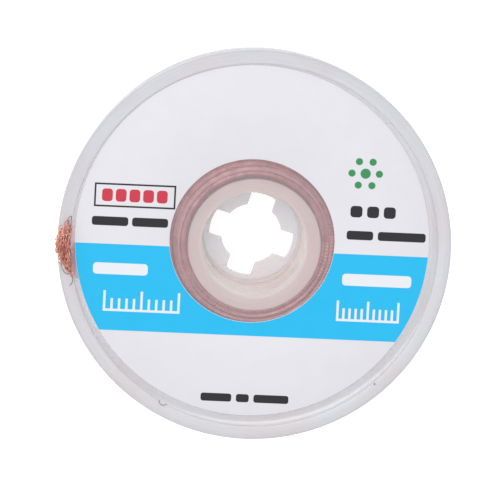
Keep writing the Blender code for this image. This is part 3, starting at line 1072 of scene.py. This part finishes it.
def tangled_wires(rng):
    """Random walks that keep some of their curl, held inside the tuft's outline and above the rim's top."""
    along = rng.uniform(-2.4, 1.9, TUFT_WIRES)
    out = rng.uniform(0.1, 0.8, TUFT_WIRES) * np.interp(along, TUFT_AT, TUFT_REACH)
    place = np.stack([along, out, rng.uniform(TUFT_LOWEST, TUFT_HIGHEST, TUFT_WIRES)], axis=1)
    way = unit(rng.normal(0, 1, (TUFT_WIRES, 3)) + np.array([0.2, 0.5, 0.5]))
    curl = rng.normal(0, 1, (TUFT_WIRES, 3))
    tightness = rng.uniform(0.12, 0.42, (TUFT_WIRES, 1))
    paths = np.zeros((TUFT_WIRES, TUFT_POINTS, 3))
    for i in range(TUFT_POINTS):
        paths[:, i] = place
        curl = KEPT_CURL * curl + NEW_CURL * rng.normal(0, 1, curl.shape)
        way = way + tightness * np.cross(unit(curl), way)
        reach = np.interp(place[:, 0], TUFT_AT, TUFT_REACH, left=0.0, right=0.0)
        way = unit(way + pushed_back(place, reach))
        place = place + way * TUFT_STEP
        beside_notch = np.clip((np.abs(place[:, 0]) - NOTCH_WIDTH / MM / 2 + 0.45) / 0.35, 0, 1)
        lowest_here = TUFT_LOWEST + (RIM_TOP / MM + 0.07 - TUFT_LOWEST) * beside_notch
        place[:, 2] = np.clip(place[:, 2], lowest_here, TUFT_HIGHEST)
        place[:, 1] = np.clip(place[:, 1], 0.0, reach + 0.05)
    for _ in range(2):
        paths[:, 1:-1] = (paths[:, :-2] + 2 * paths[:, 1:-1] + paths[:, 2:]) / 4
    return paths


def tuft():
    """Both kinds of wire as one piece."""
    rng = np.random.default_rng(21)
    paths = np.concatenate([tangled_wires(rng), combed_wires(rng)])
    return mesh_object("frayed_wires", *tubes(to_world(paths), TUFT_WIRE / 2, sides=4))


# The tuft's copper is painted lighter, painted light for the shade inside the tangle
dress(tuft(), TUFT_COPPER_PAINTED_LIGHT, "copper_braid")

# %% [markdown]
# ## Stray wires
# A few wires have sprung clear of the tuft and lie on the rim. Those above it share the tuft's copper,
# painted lighter as painted light. The ones below it are single, thinner strands that handling has dulled
# to a grey brown, and a clipping and a crumb of the same wire lie further round, where they fell when the
# braid was cut. Each is drawn through a handful of points, and a smooth curve joins them.

# %% Paths of the stray wires
ON_RIM = RIM_TOP / MM + 0.06
# Points along the rim, out from its inner edge and above it, in mm
BRIGHT_STRAYS = [
    [(2.5, 0.25, 0.0), (3.1, 0.55, 0.15), (3.6, 0.5, 0.2), (3.65, 0.2, 0.1), (3.1, 0.15, 0.0)],
    [(1.9, 0.5, 0.0), (2.6, 0.85, 0.15), (3.1, 0.8, 0.2), (3.15, 0.45, 0.1), (2.5, 0.3, 0.0)],
    [(1.3, 1.2, 0.0), (1.9, 1.55, 0.1), (2.5, 1.45, 0.05), (2.6, 1.1, 0.0)],
    [(-2.6, 0.4, 0.0), (-3.0, 0.35, 0.1), (-3.45, 0.2, 0.05), (-3.5, 0.05, 0.0)],
]
DULL_STRAYS = [
    [(-0.9, 1.45, -0.26), (-1.3, 1.5, 0.0), (-1.75, 1.42, 0.0), (-2.0, 1.05, 0.05)],
    [(-1.7, 1.2, -0.16), (-2.3, 1.2, 0.1), (-2.9, 0.95, 0.05), (-3.15, 0.6, 0.0), (-3.05, 0.45, 0.0)],
    [(-3.3, 0.1, 0.0), (-3.8, 0.12, 0.1), (-4.2, 0.3, 0.05), (-4.5, 0.6, 0.0)],
]
# Radius in mm and angle in degrees
CLIPPING = [(21.35, 241.3), (21.6, 241.9), (21.7, 242.6), (21.62, 243.4), (21.3, 244.2)]
CRUMB = [(21.62, 313.1), (21.72, 313.2), (21.72, 313.45), (21.62, 313.45), (21.6, 313.2)]
SUNK = 0.02


def smooth_path(points, parts=12):
    """A path through points with no corners, as a Catmull-Rom curve."""
    points = np.array(points, dtype=float)
    padded = np.vstack([2 * points[0] - points[1], points, 2 * points[-1] - points[-2]])
    share = np.linspace(0, 1, parts, endpoint=False)[:, None]
    path = []
    for before, start, end, after in zip(padded, padded[1:], padded[2:], padded[3:]):
        bend = 2 * before - 5 * start + 4 * end - after
        twist = 3 * start - before - 3 * end + after
        path.append(start + 0.5 * share * (end - before + share * (bend + share * twist)))
    return np.vstack([*path, points[-1:]])


def sprung_clear(points):
    """A path that starts in the tuft and ends on the rim."""
    path = smooth_path(points)
    path[:, 2] += ON_RIM
    return to_world(path)


def lying_on_rim(points):
    """A path flat on top of the rim."""
    radius, angle = smooth_path(points).T
    angle = np.radians(angle)
    height = np.full(len(radius), ON_RIM - SUNK)
    return np.stack([radius * np.cos(angle), radius * np.sin(angle), height], axis=1) * MM


print("stray wires:", len(BRIGHT_STRAYS), "bright and", len(DULL_STRAYS), "dulled")

# %% Stray wires
STRAY_POINTS = 49
BRIGHT_WIRE = 0.09 * MM
DULL_WIRE = 0.07 * MM


def strays(name, curves, thickness, material):
    """One piece of thin tubes along curves that may have different numbers of points."""
    paths = []
    for curve in curves:
        along = np.linspace(0, len(curve) - 1, STRAY_POINTS)
        paths.append(np.stack([np.interp(along, np.arange(len(curve)), axis) for axis in curve.T], axis=1))
    piece = mesh_object(name, *tubes(np.array(paths), thickness / 2, sides=5))
    dress(piece, material, "copper_braid")


bright = [sprung_clear(points) for points in BRIGHT_STRAYS]
dull = [sprung_clear(points) for points in DULL_STRAYS]
dull += [lying_on_rim(CLIPPING), lying_on_rim(CRUMB)]
# The bright strays share the tuft's copper, painted lighter as painted light
strays("stray_wires", bright, BRIGHT_WIRE, TUFT_COPPER_PAINTED_LIGHT)
strays("dulled_strays", dull, DULL_WIRE, DULLED_COPPER)

# %% [markdown]
# ## Floor, light and camera
# The bobbin lies on a pale matt sweep under a large soft light, with an even white surround that fills the
# shadows, as a product photographer's light tent does. The sweep glows a little, like a light table, so
# that it stays white through the frosted flanges. It lies a hair below the boss, because two faces in one
# plane would flicker. The camera looks down, leaning about ten degrees towards the top of the label, from
# far enough away that there is hardly any perspective.

# %% Floor
FLOOR_GLOW = 0.47
FLOOR_HALF_WIDTH = 3.0
FLOOR_DROP = 0.02 * MM
MOTTLE_MM = 25.0


def pale_sweep():
    """Matt white card with the faintest mottle."""
    material, tree, shader, place = new_material("matt_white_sweep")
    mottle = add_node(tree, "TexNoise", Vector=place, Scale=1 / (MOTTLE_MM * MM), Detail=2.0)
    shade = add_node(tree, "ValToRGB", Fac=mottle)
    set_stops(shade, [(0.0, srgb("f8f8f8")), (1.0, srgb("fcfcfc"))])
    plug(tree, shader, Base_Color=shade, Roughness=0.9)
    plug(tree, shader, Emission_Color=srgb("ffffff"), Emission_Strength=FLOOR_GLOW)
    return material


floor_mesh = bmesh.new()
bmesh.ops.create_grid(floor_mesh, x_segments=1, y_segments=1, size=FLOOR_HALF_WIDTH)
bmesh.ops.translate(floor_mesh, verts=floor_mesh.verts, vec=(0, 0, -FLOOR_DROP))
floor = object_from("floor", floor_mesh)
floor.data.materials.append(pale_sweep())
print("floor", 2 * FLOOR_HALF_WIDTH, "m wide")

# %% Light
SURROUND = 0.73

scene = bpy.context.scene
scene.view_settings.view_transform = "Standard"
world = bpy.data.worlds.new("light_tent")
scene.world = world
world.use_nodes = True
plug(world.node_tree, world.node_tree.nodes["Background"], Color=srgb("ffffff"), Strength=SURROUND)


def soft_light(name, place, size, power):
    """A round soft box that faces the bobbin. Size in metres, power in watts."""
    lamp = bpy.data.lights.new(name, "AREA")
    lamp.shape = "DISK"
    lamp.size = size
    lamp.energy = power
    obj = linked(name, lamp)
    obj.location = place
    obj.rotation_euler = (-Vector(place)).to_track_quat("-Z", "Y").to_euler()
    print(name, "light", size, "m across at", round(Vector(place).length, 2), "m")


soft_light("key", place=(-0.15, 0.26, 0.67), size=0.4, power=1.6)

# %% Camera
TILT = math.radians(9.6)
LEAN = math.radians(15.0)
ROLL = math.radians(2.9)
DISTANCE = 1.0
IMAGE_SIZE = 480
PIXELS_PER_MM = 8.57
AXIS_PIXEL = (254.4, 245.0)
FRAME_WIDTH = IMAGE_SIZE / PIXELS_PER_MM * MM
AXIS_AT = Vector((AXIS_PIXEL[0] - IMAGE_SIZE / 2, IMAGE_SIZE / 2 - AXIS_PIXEL[1])) / PIXELS_PER_MM * MM

right = Vector((math.cos(ROLL), math.sin(ROLL), 0.0))
top = Vector((-math.sin(ROLL), math.cos(ROLL), 0.0))
towards = top * math.cos(LEAN) - right * math.sin(LEAN)
back = (Vector((0, 0, 1)) * math.cos(TILT) + towards * math.sin(TILT)).normalized()
camera_right = top.cross(back).normalized()
camera_up = back.cross(camera_right)
camera = linked("camera", bpy.data.cameras.new("camera"))
aim = Vector((0, 0, FRONT_FACE)) - camera_right * AXIS_AT.x - camera_up * AXIS_AT.y
turn = Matrix((camera_right, camera_up, back)).transposed().to_4x4()
camera.matrix_world = Matrix.Translation(aim + back * DISTANCE) @ turn
camera.data.lens = camera.data.sensor_width * DISTANCE / FRAME_WIDTH
scene.camera = camera
print("lens", round(camera.data.lens), "mm at", DISTANCE, "m")
